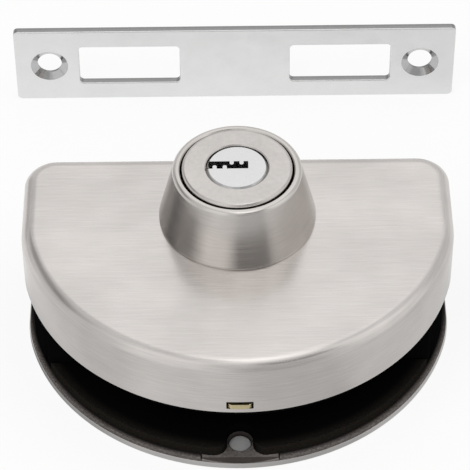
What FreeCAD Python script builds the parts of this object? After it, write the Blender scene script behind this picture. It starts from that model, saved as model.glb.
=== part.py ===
import FreeCAD, Part
import math
import os

# Half-moon lock for a glass door, with two flat bolts and a strike plate.
# X runs along the straight edge, Y points to the straight edge and Z out of the front face.
# The origin is on the cylinder's axis, at the flat back face. All sizes are in millimetres.

# Outline seen from the front
half_width = 52.7
edge_y = 21.0
arc_depth = 50.1
shoulder_drop = 6.0
shoulder_round = 30.0
corner_round = 8.0

# Layers through the thickness, from the back face
back_cover_height = 2.1
back_cover_wall = 0.8
back_cover_round = 0.7
flange_thickness = 1.0
flange_inset = 0.25
gasket_ledge = 1.2
gasket_thickness = 2.65
gasket_round = 0.35
glass_gap = 12.5
chassis_thickness = 3.0
front_depth = 15.8
front_wall = 1.2
front_round = 3.4
front_inner_round = 2.2
shell_clearance = 0.3

# Foot at the middle of the arc, with the stud that shows in its hole
foot_width = 18.5
foot_depth = 12.5
foot_seam = 0.25
foot_hole_inset = 6.2
foot_hole_radius = 2.75
foot_hole_edge = 0.3
foot_bevel = 1.0
stud_clearance = 0.08
stud_edge = 0.3
notch_margin = 0.35
notch_round = 3.2

# Lock case between the two halves
case_inset = 0.5
case_front_wall = 1.5
case_back_wall = 2.0
case_cover_thickness = 1.2
case_cover_lip = 1.4
faceplate_thickness = 1.5
faceplate_end_margin = 8.7
faceplate_margin = 1.5
faceplate_fit = 0.1
part_gap = 0.15

# Bolts and the slide that carries them
bolt_inner_x = 16.05
bolt_end_margin = 11.15
bolt_height = 10.0
bolt_length = 29.7
bolt_setback = 0.3
bolt_chamfer = 0.8
bolt_clearance = 0.3
slide_clearance = 0.1
crossbar_depth = 8.0
crossbar_thickness = 4.8
crossbar_end_inset = 1.55
carrier_pin_radius = 2.0
carrier_pin_cheek = 2.3

# Rack and pinion: one full turn of the key moves the bolts by their throw
pinion_teeth = 8
pressure_angle = math.radians(30.0)
addendum_ratio = 0.85
dedendum_ratio = 1.1
backlash = 0.07
rack_overrun = 2.4
rack_end_room = 0.5
rack_back_width = 4.4
rack_height = 4.0
pinion_height = 3.6
pinion_lift = 0.2

# Lock cylinder
housing_radius = 13.35
housing_height = 28.85
housing_round = 0.8
housing_bore_edge = 0.25
plug_head_radius = 7.45
plug_head_depth = 2.2
plug_recess = 0.1
plug_edge = 0.55
plug_step = 0.55
head_clearance = 0.12
turning_clearance = 0.05
tail_disc_radius = 8.2
tail_disc_thickness = 1.65
tail_disc_room = 0.2
tail_room = 0.3
tail_shaft_radius = 1.9
tail_hole_radius = 3.4
tail_screw_radius = 1.0
tail_screw_offset = 4.6
tail_screw_length = 5.0
key_slot_end_x = 2.67
key_slot_y = 0.72
key_slot_height = 2.5
key_slot_depth = 23.0
key_pin_room = 0.2
ward_height = 1.15
ward_width = 1.0
upper_wards = (-1.29, 1.07)
lower_wards = (-5.39, -2.96)
pin_count = 5
pin_pitch = 4.0
first_pin_depth = 5.2
pin_radius = 1.2
pin_fit = 0.05
shear_clearance = 0.1
driver_length = 2.0
spring_wall = 0.35
pin_cap_length = 1.1
pin_cap_recess = 0.2

# Conical guard round the cylinder
guard_flare = 3.65
guard_top_wall = 1.65
guard_height = 15.4
guard_rim_height = 0.6
guard_lip_round = 1.1
guard_bore_edge = 0.25
guard_gap = 0.45
spigot_wall = 1.6
spigot_length = 3.6
spigot_clearance = 0.1
nut_width = 2.1
nut_thickness = 2.2
nut_slots = 4
nut_slot_width = 2.4
nut_slot_depth = 1.0

# Catch that holds the front cover at the middle of the arc
catch_width = 5.6
catch_height = 1.8
catch_floor = 1.5
catch_proud = 0.25
catch_edge = 0.2
catch_length = 8.6
catch_travel = 1.8
catch_wing = 1.1
catch_wing_length = 2.6
catch_spring_solid = 2.8
catch_spring_radius = 0.75
catch_spring_wall = 0.3
catch_clearance = 0.12
window_width = 6.4
window_height = 2.4
window_floor_room = 0.2
bracket_half_width = 11.0
bracket_depth = 13.5
bracket_thickness = 2.3
bracket_screw_x = 8.4
bracket_corner_round = 1.5
bracket_setback = 1.9

# Pegs that hold the front cover at the straight edge
peg_end_margin = 22.7
peg_z_drop = 7.0
peg_radius = 1.5
peg_length = 3.2
lug_width = 6.5
lug_thickness = 2.4
lug_slot_margin = 0.2
collar_wall = 1.65
collar_height = 3.0

# Fasteners
clamp_screw_end_margin = 6.1
clamp_screw_edge_margin = 9.0
clamp_screw_back_margin = 14.0
clamp_screw_radius = 2.0
clamp_screw_length = 9.5
back_screw_length = 7.5
cylinder_screw_wall = 2.85
cylinder_screw_radius = 1.75
cylinder_screw_length = 16.0
small_screw_radius = 1.2
small_screw_length = 5.2
post_radius = 3.2
post_wall_overlap = 1.3
edge_screw_bolt_distance = 4.55
edge_boss_length = 3.0
screw_fit = 0.05
screw_head_ratio = 1.9
screw_head_rim_ratio = 0.15
screw_neck_ratio = 1.05
small_drive_ratio = 0.9
recess_depth = 0.9
hole_end_room = 0.4
small_head_height = 1.0
small_head_recess = 0.7
bracket_screw_bite = 1.9

# Strike plate for the frame opposite, on its long edge and in line with the bolts
strike_overhang = 7.3
strike_width = 24.0
strike_thickness = 2.0
strike_distance = 83.0
strike_corner_round = 1.3
strike_edge_round = 0.3
strike_window_side_play = 1.0
strike_window_play = 1.45
strike_window_round = 1.2
strike_screw_margin = 9.3
strike_screw_radius = 3.3
strike_sink_radius = 5.1
strike_sink_depth = 1.3

# How far a cutting shape runs past the face that it cuts
overrun = 1.0

# Heights that follow from the layers
plate_z = back_cover_height
plate_top_z = plate_z + flange_thickness
gap_low_z = plate_top_z + gasket_thickness
gap_high_z = gap_low_z + glass_gap
rim_z = gap_high_z + gasket_thickness
chassis_top_z = rim_z + chassis_thickness
cover_top_z = rim_z + front_depth
guard_top_z = cover_top_z + guard_height
bolt_z = gap_low_z + glass_gap / 2
bolt_low_z = bolt_z - bolt_height / 2
cavity_low_z = bolt_low_z - slide_clearance
cavity_high_z = rim_z - case_cover_thickness

# The bolts' throw, and the gear sizes that give it in one turn
case_front_y = edge_y - faceplate_thickness
cavity_front_y = case_front_y - case_front_wall
bolt_throw = cavity_front_y - rack_overrun - rack_end_room
cavity_back_y = -(bolt_throw + rack_overrun + rack_end_room)
case_back_y = cavity_back_y - case_back_wall
catch_spring_length = catch_travel + catch_spring_solid
pitch_radius = bolt_throw / (2 * math.pi)
gear_module = 2 * pitch_radius / pinion_teeth
tooth_pitch = math.pi * gear_module

# Where the bolts and their slide stand with the lock open
bolt_front_y = edge_y - bolt_setback
bolt_back_y = bolt_front_y - bolt_length
cavity_half_width = half_width - bolt_end_margin + 2 * bolt_clearance
crossbar_low_z = bolt_z - crossbar_thickness / 2
crossbar_top_z = bolt_z + crossbar_thickness / 2

# Places that follow from the outline
faceplate_half_width = half_width - faceplate_end_margin
bolt_outer_x = half_width - bolt_end_margin
bolt_width = bolt_outer_x - bolt_inner_x
bolt_spacing = bolt_outer_x + bolt_inner_x
crossbar_reach = bolt_outer_x - crossbar_end_inset
peg_x = half_width - peg_end_margin
clamp_screw_x = half_width - clamp_screw_end_margin
clamp_screw_front_y = edge_y - clamp_screw_edge_margin
clamp_screw_back_y = case_back_y + clamp_screw_back_margin
edge_screw_x = bolt_inner_x - edge_screw_bolt_distance
cylinder_screw_y = housing_radius - cylinder_screw_wall
foot_hole_y = foot_hole_inset - arc_depth
strike_length = 2 * (half_width + strike_overhang)
strike_screw_spacing = strike_length - 2 * strike_screw_margin
strike_window_width = bolt_width + 2 * strike_window_side_play
strike_window_height = bolt_height + 2 * strike_window_play

# Cylinder levels
housing_top_z = chassis_top_z + housing_height
plug_top_z = housing_top_z - plug_recess
tail_disc_z = chassis_top_z + tail_room
plug_low_z = tail_disc_z + tail_disc_thickness
counterbore_top_z = plug_low_z + 2 * turning_clearance
plug_radius = plug_head_radius - plug_step
plug_step_z = plug_top_z - plug_head_depth
guard_bore_radius = housing_radius + guard_gap
guard_top_radius = guard_bore_radius + guard_top_wall
guard_base_radius = guard_top_radius + guard_flare
spigot_radius = guard_bore_radius + spigot_wall
nut_radius = spigot_radius + nut_width

bolt_sides = (-1, 1)
clamp_screw_places = [
    (side * clamp_screw_x, y) for side in (-1, 1) for y in (clamp_screw_back_y, clamp_screw_front_y)
]


def vec(x, y, z):
    return FreeCAD.Vector(x, y, z)


def box(x0, x1, y0, y1, z0, z1):
    return Part.makeBox(x1 - x0, y1 - y0, z1 - z0, vec(x0, y0, z0))


def rod(x, y, z0, z1, radius):
    return Part.makeCylinder(radius, z1 - z0, vec(x, y, z0))


def rod_along(start, axis, length, radius):
    return Part.makeCylinder(radius, length, start, axis)


def polygon(points):
    return Part.Face(Part.makePolygon(points + [points[0]]))


def turned(points):
    # Solid of revolution about the Z axis from (radius, height) points
    outline = polygon([vec(radius, 0, height) for radius, height in points])
    return outline.revolve(vec(0, 0, 0), vec(0, 0, 1), 360)


def moved(shape, x, y, z):
    copy = shape.copy()
    copy.translate(vec(x, y, z))
    return copy


def arc(start, middle, end):
    return Part.Arc(start, middle, end).toShape()


def half_moon(inset):
    # The lock's outline as a face: straight edge, two short sides and the large arc
    rise = arc_depth - shoulder_drop
    radius = (half_width ** 2 + rise ** 2) / (2 * rise)
    centre_y = radius - arc_depth
    blend_x = half_width - shoulder_round
    blend_y = centre_y - math.sqrt((radius - shoulder_round) ** 2 - blend_x ** 2)
    blend_angle = math.atan2(blend_y - centre_y, blend_x)
    corner_x = half_width - corner_round
    corner_y = edge_y - corner_round
    corner = corner_round - inset
    blend = shoulder_round - inset
    main = radius - inset
    side = half_width - inset
    diagonal = corner * math.sqrt(0.5)

    def on_blend(sign, angle):
        return vec(sign * (blend_x + blend * math.cos(angle)), blend_y + blend * math.sin(angle), 0)

    def side_edges(sign):
        top = vec(sign * corner_x, edge_y - inset, 0)
        bend = vec(sign * (corner_x + diagonal), corner_y + diagonal, 0)
        shoulder = vec(sign * side, corner_y, 0)
        low = on_blend(sign, 0)
        middle = on_blend(sign, blend_angle / 2)
        end = on_blend(sign, blend_angle)
        return [arc(top, bend, shoulder), Part.LineSegment(shoulder, low).toShape(), arc(low, middle, end)]

    right = side_edges(1)
    left = side_edges(-1)
    top_line = Part.LineSegment(vec(-corner_x, edge_y - inset, 0), vec(corner_x, edge_y - inset, 0))
    bottom = arc(on_blend(-1, blend_angle), vec(0, centre_y - main, 0), on_blend(1, blend_angle))
    edges = [top_line.toShape()] + right + [bottom] + left
    return Part.Face(Part.Wire(Part.sortEdges(edges)[0]))


def slab(inset, z0, z1):
    return moved(half_moon(inset), 0, 0, z0).extrude(vec(0, 0, z1 - z0))


def edges_at_height(shape, z):
    return [edge for edge in shape.Edges if abs(edge.BoundBox.ZMin - z) + abs(edge.BoundBox.ZMax - z) < 1e-4]


def countersunk_screw(radius, length, drive_radius):
    # Screw along -Z with its flat head at z = 0 and a hexagon recess in it
    head_radius = screw_head_ratio * radius
    head = turned([
        (0, 0), (head_radius, 0), (head_radius, -screw_head_rim_ratio * radius),
        (radius, -screw_neck_ratio * radius), (radius, -length), (0, -length),
    ])
    return head.cut(hexagon(drive_radius, -recess_depth, 0))


def countersink(radius, length, clearance):
    # Space that a countersunk screw takes, with its clearance
    wide = screw_head_ratio * radius + clearance
    bore = radius + clearance
    return turned([
        (0, overrun), (wide, overrun), (wide, -screw_head_rim_ratio * radius),
        (bore, -screw_neck_ratio * radius), (bore, -length - clearance), (0, -length - clearance),
    ])


def hexagon(radius, z0, z1):
    corners = [
        vec(radius * math.cos(math.radians(60 * step)), radius * math.sin(math.radians(60 * step)), z0)
        for step in range(6)
    ]
    return polygon(corners).extrude(vec(0, 0, z1 - z0))


def flipped(shape):
    # The same shape pointing the other way along Z
    copy = shape.copy()
    copy.rotate(vec(0, 0, 0), vec(1, 0, 0), 180)
    return copy


def joined(shapes):
    first = shapes[0]
    return first.fuse(shapes[1:]).removeSplitter() if len(shapes) > 1 else first


def behind_case(shape, clearance):
    # What lies on the arc's side of the lock case
    limit = case_back_y - clearance
    return shape.common(box(-2 * half_width, 2 * half_width, -2 * arc_depth, limit, 0, cover_top_z))


# Back half


def back_cover():
    outer = slab(0, 0, back_cover_height)
    outer = outer.makeFillet(back_cover_round, edges_at_height(outer, 0))
    return outer.cut(slab(back_cover_wall, back_cover_wall, back_cover_height + overrun))


def cover_stud():
    # Stud welded into the back cover, whose end shows in the foot's hole
    stud = rod(0, foot_hole_y, back_cover_wall, back_cover_height, foot_hole_radius - stud_clearance)
    return stud.makeChamfer(stud_edge, edges_at_height(stud, back_cover_height))


def foot_block(margin):
    half = foot_width / 2 + margin
    low_y = -arc_depth - overrun
    high_y = -arc_depth + foot_depth + margin
    return box(-half, half, low_y, high_y, 0, plate_top_z)


def plate_blank():
    lower = slab(back_cover_wall + part_gap, back_cover_wall, plate_z)
    flange = slab(flange_inset, plate_z, plate_top_z)
    return lower.fuse(flange).removeSplitter()


def back_plate():
    plate = plate_blank().cut(foot_block(foot_seam))
    for x, y in clamp_screw_places:
        hole = flipped(countersink(clamp_screw_radius, back_screw_length, screw_fit))
        plate = plate.cut(moved(hole, x, y, back_cover_wall))
    return plate


def plate_foot():
    # The middle of the arc, bevelled at its outer edge, with a chamfered hole for the stud
    foot = plate_blank().common(foot_block(0))
    bevel_y = -arc_depth + flange_inset + foot_bevel
    far = foot_bevel + overrun
    bevel = polygon([
        vec(-foot_width, bevel_y + overrun, plate_top_z + overrun),
        vec(-foot_width, bevel_y - far, plate_top_z - far),
        vec(-foot_width, bevel_y - far, plate_top_z + overrun),
    ])
    foot = foot.cut(bevel.extrude(vec(2 * foot_width, 0, 0)))
    rim_radius = foot_hole_radius + foot_hole_edge + overrun
    hole = turned([
        (0, 0), (foot_hole_radius, 0), (foot_hole_radius, plate_top_z - foot_hole_edge),
        (rim_radius, plate_top_z + overrun), (0, plate_top_z + overrun),
    ])
    return foot.cut(moved(hole, 0, foot_hole_y, 0))


def back_plate_screws():
    screw = flipped(countersunk_screw(clamp_screw_radius, back_screw_length, clamp_screw_radius))
    return Part.makeCompound([moved(screw, x, y, back_cover_wall) for x, y in clamp_screw_places])


def back_gasket():
    inset = flange_inset + gasket_ledge
    pad = behind_case(slab(inset, plate_top_z, gap_low_z), part_gap)
    notch_half = foot_hole_radius + notch_margin
    notch = rod(0, foot_hole_y, 0, gap_low_z + overrun, notch_half)
    notch = notch.fuse(box(-notch_half, notch_half, -arc_depth, foot_hole_y, 0, gap_low_z + overrun))
    pad = pad.cut(notch)
    corners = [
        edge for edge in pad.Edges
        if edge.BoundBox.ZLength > gasket_thickness / 2
        and abs(abs(edge.BoundBox.XMin) - notch_half) < 0.01
        and edge.BoundBox.XLength < 0.01
        and edge.BoundBox.YMax < foot_hole_y - notch_half
    ]
    pad = pad.makeFillet(notch_round, corners)
    return pad.makeFillet(gasket_round, edges_at_height(pad, gap_low_z))


def front_gasket():
    inset = front_wall + shell_clearance
    return behind_case(slab(inset, gap_high_z, rim_z), part_gap)


# Lock case with the bolts' slide


def lock_case():
    side_limit = box(-half_width, half_width, case_back_y, edge_y, plate_top_z, rim_z)
    case = slab(case_inset, plate_top_z, rim_z).common(side_limit)
    cavity = box(
        -cavity_half_width, cavity_half_width, cavity_back_y, cavity_front_y, cavity_low_z, rim_z + overrun
    )
    case = case.cut(cavity)
    posts = [
        rod(side * bolt_spacing / 2, cover_post_y(), cavity_low_z - overrun, cavity_high_z, post_radius)
        for side in (-1, 1)
    ]
    bosses = [
        rod_along(
            vec(side * edge_screw_x, cavity_front_y - edge_boss_length, bolt_z), vec(0, 1, 0),
            edge_boss_length + overrun, 2 * small_screw_radius,
        )
        for side in (-1, 1)
    ]
    case = case.fuse(posts + bosses).removeSplitter()
    case = case.cut(cover_outline(cavity_high_z, rim_z + overrun, 0))
    case = case.cut(faceplate_box(faceplate_fit, overrun))
    for side in bolt_sides:
        case = case.cut(bolt_window(side, cavity_front_y - overrun, edge_y + overrun))
    for x, y in clamp_screw_places:
        radius = clamp_screw_radius + screw_fit
        low_end_z = back_cover_wall + back_screw_length + hole_end_room
        high_end_z = chassis_top_z - clamp_screw_length - hole_end_room
        case = case.cut(rod(x, y, plate_top_z - overrun, low_end_z, radius))
        case = case.cut(rod(x, y, high_end_z, rim_z + overrun, radius))
    for side in (-1, 1):
        tapped = rod(
            side * bolt_spacing / 2, cover_post_y(), rim_z - small_screw_length - hole_end_room, rim_z,
            small_screw_radius + screw_fit,
        )
        edge_hole = rod_along(
            vec(side * edge_screw_x, edge_y - small_screw_length - hole_end_room, bolt_z), vec(0, 1, 0),
            small_screw_length, small_screw_radius + screw_fit,
        )
        case = case.cut(tapped).cut(edge_hole)
    return case


def cover_post_y():
    return cavity_back_y + post_radius - post_wall_overlap


def cover_outline(z0, z1, clearance):
    half = cavity_half_width + case_cover_lip - clearance
    low_y = cavity_back_y - case_cover_lip / 2 + clearance
    high_y = cavity_front_y + case_cover_lip / 2 - clearance
    return box(-half, half, low_y, high_y, z0, z1)


def case_cover():
    cover = cover_outline(cavity_high_z, rim_z, part_gap)
    cover = cover.cut(rod(0, 0, cavity_high_z - overrun, rim_z + overrun, tail_hole_radius))
    for side in (-1, 1):
        hole = countersink(small_screw_radius, small_screw_length, screw_fit)
        cover = cover.cut(moved(hole, side * bolt_spacing / 2, cover_post_y(), rim_z))
    return cover


def case_cover_screws():
    screw = countersunk_screw(small_screw_radius, small_screw_length, small_drive_ratio * small_screw_radius)
    return Part.makeCompound([
        moved(screw, side * bolt_spacing / 2, cover_post_y(), rim_z) for side in (-1, 1)
    ])


def faceplate_box(clearance, extra):
    half = faceplate_half_width + clearance
    low_z = plate_top_z + faceplate_margin - clearance
    high_z = rim_z - faceplate_margin + clearance
    return box(-half, half, case_front_y, edge_y + extra, low_z, high_z)


def bolt_window(side, y0, y1):
    centre = side * bolt_spacing / 2
    half = bolt_width / 2 + bolt_clearance
    low_z = bolt_z - bolt_height / 2 - bolt_clearance
    high_z = bolt_z + bolt_height / 2 + bolt_clearance
    return box(centre - half, centre + half, y0, y1, low_z, high_z)


def edge_screw(shape, side):
    # Turns a part along -Z so that its head faces +Y, and sets it at the faceplate
    copy = shape.copy()
    copy.rotate(vec(0, 0, 0), vec(1, 0, 0), -90)
    copy.translate(vec(side * edge_screw_x, edge_y, bolt_z))
    return copy


def faceplate():
    plate = faceplate_box(0, 0)
    for side in bolt_sides:
        plate = plate.cut(bolt_window(side, case_front_y - overrun, edge_y + overrun))
        plate = plate.cut(edge_screw(countersink(small_screw_radius, small_screw_length, screw_fit), side))
    return plate


def faceplate_screws():
    screw = countersunk_screw(small_screw_radius, small_screw_length, small_drive_ratio * small_screw_radius)
    return Part.makeCompound([edge_screw(screw, side) for side in bolt_sides])


def bolt(side):
    centre = side * bolt_spacing / 2
    half = bolt_width / 2
    body = box(
        centre - half, centre + half, bolt_back_y, bolt_front_y, bolt_low_z, bolt_low_z + bolt_height
    )
    front_edges = [edge for edge in body.Edges if edge.BoundBox.YMin > bolt_front_y - 0.01]
    body = body.makeChamfer(bolt_chamfer, front_edges)
    slot = box(
        centre - half - overrun, centre + half + overrun,
        bolt_back_y - overrun, bolt_back_y + crossbar_depth, crossbar_low_z, crossbar_top_z,
    )
    return body.cut(slot).cut(carrier_pin(side))


def carrier_pin(side):
    low_z = crossbar_low_z - carrier_pin_cheek
    high_z = crossbar_top_z + carrier_pin_cheek
    return rod(side * bolt_spacing / 2, bolt_back_y + crossbar_depth / 2, low_z, high_z, carrier_pin_radius)


def carrier_pins():
    return Part.makeCompound([carrier_pin(side) for side in bolt_sides])


def rack():
    # Straight-sided teeth that face the pinion, on a bar above the crossbar
    tip_x = pitch_radius - addendum_ratio * gear_module
    root_x = pitch_radius + dedendum_ratio * gear_module
    back_x = root_x + rack_back_width
    low_y = -(bolt_throw + rack_overrun)
    high_y = rack_overrun
    half_tip = tooth_pitch / 4 - backlash / 2 - (pitch_radius - tip_x) * math.tan(pressure_angle)
    half_root = tooth_pitch / 4 - backlash / 2 + (root_x - pitch_radius) * math.tan(pressure_angle)
    z = crossbar_top_z
    points = [vec(back_x, low_y, z), vec(root_x, low_y, z)]
    for step in range(-pinion_teeth - 2, 2):
        centre = (step + 0.5) * tooth_pitch
        if centre - half_root < low_y or centre + half_root > high_y:
            continue
        points.append(vec(root_x, centre - half_root, z))
        points.append(vec(tip_x, centre - half_tip, z))
        points.append(vec(tip_x, centre + half_tip, z))
        points.append(vec(root_x, centre + half_root, z))
    points.append(vec(root_x, high_y, z))
    points.append(vec(back_x, high_y, z))
    return polygon(points).extrude(vec(0, 0, rack_height))


def bolt_carrier():
    crossbar = box(
        -crossbar_reach, crossbar_reach, bolt_back_y, bolt_back_y + crossbar_depth,
        crossbar_low_z, crossbar_top_z,
    )
    for side in bolt_sides:
        crossbar = crossbar.cut(carrier_pin(side))
    return crossbar.fuse(rack()).removeSplitter()


# Cylinder, its plug and the pins between them


def involute_angle(radius):
    base = pitch_radius * math.cos(pressure_angle)
    at_radius = math.acos(min(1.0, base / radius))
    return math.tan(at_radius) - at_radius


def half_tooth_angle(radius):
    at_pitch = (tooth_pitch / 2 - backlash) / (2 * pitch_radius)
    return at_pitch + involute_angle(pitch_radius) - involute_angle(radius)


def pinion():
    base = pitch_radius * math.cos(pressure_angle)
    root = pitch_radius - dedendum_ratio * gear_module
    tip = pitch_radius + addendum_ratio * gear_module
    middle = (base + tip) / 2
    step_angle = 2 * math.pi / pinion_teeth

    def at(radius, angle):
        return vec(radius * math.cos(angle), radius * math.sin(angle), 0)

    edges = []
    for tooth in range(pinion_teeth):
        centre = tooth * step_angle
        low = half_tooth_angle(base)
        mid = half_tooth_angle(middle)
        high = half_tooth_angle(tip)
        next_low = centre + step_angle - low
        edges.append(Part.LineSegment(at(root, centre - low), at(base, centre - low)).toShape())
        edges.append(arc(at(base, centre - low), at(middle, centre - mid), at(tip, centre - high)))
        edges.append(arc(at(tip, centre - high), at(tip, centre), at(tip, centre + high)))
        edges.append(arc(at(tip, centre + high), at(middle, centre + mid), at(base, centre + low)))
        edges.append(Part.LineSegment(at(base, centre + low), at(root, centre + low)).toShape())
        edges.append(arc(at(root, centre + low), at(root, centre + step_angle / 2), at(root, next_low)))
    gear = Part.Face(Part.Wire(Part.sortEdges(edges)[0])).extrude(vec(0, 0, pinion_height))
    return moved(gear, 0, 0, crossbar_top_z + pinion_lift)


def tail_pinion():
    pinion_top = crossbar_top_z + pinion_lift + pinion_height
    shaft = rod(0, 0, pinion_top, tail_disc_z, tail_shaft_radius)
    disc = rod(0, 0, tail_disc_z, plug_low_z, tail_disc_radius)
    piece = pinion().fuse([shaft, disc]).removeSplitter()
    for side in (-1, 1):
        hole = rod(0, side * tail_screw_offset, tail_disc_z - overrun, plug_low_z + overrun,
                   tail_screw_radius + screw_fit)
        piece = piece.cut(hole)
    return piece


def tail_screws():
    def screw(side):
        y = side * tail_screw_offset
        return rod(0, y, tail_disc_z, tail_disc_z + tail_screw_length, tail_screw_radius)
    return Part.makeCompound([screw(side) for side in (-1, 1)])


def pin_heights():
    return [plug_top_z - first_pin_depth - step * pin_pitch for step in range(pin_count)]


def pin_bores(inner, outer, radius):
    # Round holes along +X, one for each pin
    return [
        rod_along(vec(inner, key_slot_y, z), vec(1, 0, 0), outer - inner, radius) for z in pin_heights()
    ]


def key_slot():
    half = key_slot_height / 2
    low_z = plug_top_z - key_slot_depth
    slot = box(-plug_head_radius - overrun, key_slot_end_x, key_slot_y - half, key_slot_y + half,
               low_z, plug_top_z + overrun)
    for x in upper_wards:
        slot = slot.cut(ward(x, 1))
    for x in lower_wards:
        slot = slot.cut(ward(x, -1))
    return slot


def ward(x, side):
    # Rounded rib left standing along one wall of the key slot
    wall_y = key_slot_y + side * key_slot_height / 2
    tip_y = wall_y - side * (ward_height - ward_width / 2)
    low_z = plug_top_z - key_slot_depth - overrun
    high_z = plug_top_z + 2 * overrun
    low_y = min(wall_y + side, tip_y)
    high_y = max(wall_y + side, tip_y)
    rib = box(x - ward_width / 2, x + ward_width / 2, low_y, high_y, low_z, high_z)
    return rib.fuse(rod(x, tip_y, low_z, high_z, ward_width / 2))


def cylinder_plug():
    plug = turned([
        (0, plug_low_z), (plug_radius, plug_low_z), (plug_radius, plug_step_z),
        (plug_head_radius, plug_step_z), (plug_head_radius, plug_top_z - plug_edge),
        (plug_head_radius - plug_edge, plug_top_z), (0, plug_top_z),
    ])
    plug = plug.cut(key_slot())
    for bore in pin_bores(key_slot_end_x - overrun, plug_head_radius + overrun, pin_radius + pin_fit):
        plug = plug.cut(bore)
    for side in (-1, 1):
        top = tail_disc_z + tail_screw_length + hole_end_room
        hole = rod(0, side * tail_screw_offset, plug_low_z - overrun, top, tail_screw_radius + screw_fit)
        plug = plug.cut(hole)
    return plug


def pin_end_x(radius):
    # Where a flat pin end still lies inside a round wall of this radius
    return math.sqrt(radius ** 2 - (abs(key_slot_y) + pin_radius) ** 2)


def key_pins():
    start = key_slot_end_x + key_pin_room
    end = pin_end_x(plug_radius) - shear_clearance
    pins = []
    for z in pin_heights():
        pin = rod_along(vec(start, key_slot_y, z), vec(1, 0, 0), end - start, pin_radius)
        tip = [edge for edge in pin.Edges if edge.BoundBox.XMax < start + key_pin_room]
        pins.append(pin.makeChamfer(pin_radius / 2, tip))
    return Part.makeCompound(pins)


def driver_start_x():
    return plug_radius + turning_clearance + shear_clearance


def driver_pins():
    start = driver_start_x()
    return Part.makeCompound([
        rod_along(vec(start, key_slot_y, z), vec(1, 0, 0), driver_length, pin_radius)
        for z in pin_heights()
    ])


def cap_start_x():
    return housing_radius - pin_cap_length - pin_cap_recess


def pin_springs():
    start = driver_start_x() + driver_length
    springs = []
    for z in pin_heights():
        outer = rod_along(vec(start, key_slot_y, z), vec(1, 0, 0), cap_start_x() - start, pin_radius)
        inner = rod_along(vec(start, key_slot_y, z), vec(1, 0, 0), cap_start_x() - start,
                          pin_radius - spring_wall)
        springs.append(outer.cut(inner))
    return Part.makeCompound(springs)


def pin_caps():
    return Part.makeCompound([
        rod_along(vec(cap_start_x(), key_slot_y, z), vec(1, 0, 0), pin_cap_length, pin_radius + pin_fit)
        for z in pin_heights()
    ])


def cylinder_housing():
    head_bore = plug_head_radius + head_clearance
    bore = plug_radius + turning_clearance
    counterbore = tail_disc_radius + tail_disc_room
    step_z = plug_step_z - turning_clearance
    edge = housing_bore_edge
    body = rod(0, 0, chassis_top_z, housing_top_z, housing_radius)
    body = body.makeFillet(housing_round, edges_at_height(body, housing_top_z))
    hollow = turned([
        (0, chassis_top_z - overrun), (counterbore, chassis_top_z - overrun),
        (counterbore, counterbore_top_z),
        (bore, counterbore_top_z), (bore, step_z), (head_bore, step_z), (head_bore, housing_top_z - edge),
        (head_bore + edge, housing_top_z), (head_bore + edge, housing_top_z + overrun),
        (0, housing_top_z + overrun),
    ])
    body = body.cut(hollow)
    for hole in pin_bores(0, housing_radius + overrun, pin_radius + pin_fit):
        body = body.cut(hole)
    for side in (-1, 1):
        hole = rod(0, side * cylinder_screw_y, chassis_top_z - overrun,
                   rim_z + cylinder_screw_length + hole_end_room, cylinder_screw_radius + screw_fit)
        body = body.cut(hole)
    return body


def cylinder_screws():
    screw = flipped(countersunk_screw(cylinder_screw_radius, cylinder_screw_length, cylinder_screw_radius))
    return Part.makeCompound([moved(screw, 0, side * cylinder_screw_y, rim_z) for side in (-1, 1)])


def cylinder_guard():
    # Cone with a rounded lip, and a spigot that passes through the front cover
    slope_z = cover_top_z + guard_rim_height
    tilt = math.atan2(guard_base_radius - guard_top_radius, guard_top_z - slope_z)
    low_z = cover_top_z - spigot_length
    bore = guard_bore_radius
    edge_z = guard_top_z - guard_bore_edge
    round_z = guard_top_z - guard_lip_round
    round_radius = guard_top_radius - guard_lip_round * math.tan(math.pi / 4 - tilt / 2)

    def at(radius, z):
        return vec(radius, 0, z)

    def on_round(angle):
        reach = guard_lip_round * math.cos(angle)
        return at(round_radius + reach, round_z + guard_lip_round * math.sin(angle))

    corners = [
        at(bore, low_z), at(spigot_radius, low_z), at(spigot_radius, cover_top_z),
        at(guard_base_radius, cover_top_z), at(guard_base_radius, slope_z), on_round(tilt),
    ]
    edges = [
        Part.LineSegment(start, end).toShape() for start, end in zip(corners[:-1], corners[1:])
    ]
    edges.append(arc(on_round(tilt), on_round((tilt + math.pi / 2) / 2), on_round(math.pi / 2)))
    lip = [on_round(math.pi / 2), at(bore + guard_bore_edge, guard_top_z), at(bore, edge_z), corners[0]]
    edges += [Part.LineSegment(start, end).toShape() for start, end in zip(lip[:-1], lip[1:])]
    face = Part.Face(Part.Wire(edges))
    return face.revolve(vec(0, 0, 0), vec(0, 0, 1), 360)


def guard_nut():
    inner_top = cover_top_z - front_wall
    ring = rod(0, 0, inner_top - nut_thickness, inner_top, nut_radius)
    ring = ring.cut(rod(0, 0, 0, cover_top_z, spigot_radius + screw_fit))
    for step in range(nut_slots):
        notch = box(nut_radius - nut_slot_depth, nut_radius + overrun,
                    -nut_slot_width / 2, nut_slot_width / 2,
                    inner_top - nut_thickness - overrun, inner_top + overrun)
        notch.rotate(vec(0, 0, 0), vec(0, 0, 1), 45 + 360 * step / nut_slots)
        ring = ring.cut(notch)
    return ring


# Front half


def lug(side):
    half = lug_width / 2
    back_y = edge_y - front_wall - peg_length + lug_slot_margin
    low = box(side * peg_x - half, side * peg_x + half, back_y - lug_thickness / 2,
              back_y + lug_thickness / 2, rim_z, cover_top_z - peg_z_drop)
    top = rod_along(vec(side * peg_x, back_y - lug_thickness / 2, cover_top_z - peg_z_drop), vec(0, 1, 0),
                    lug_thickness, half)
    return low.fuse(top)


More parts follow.
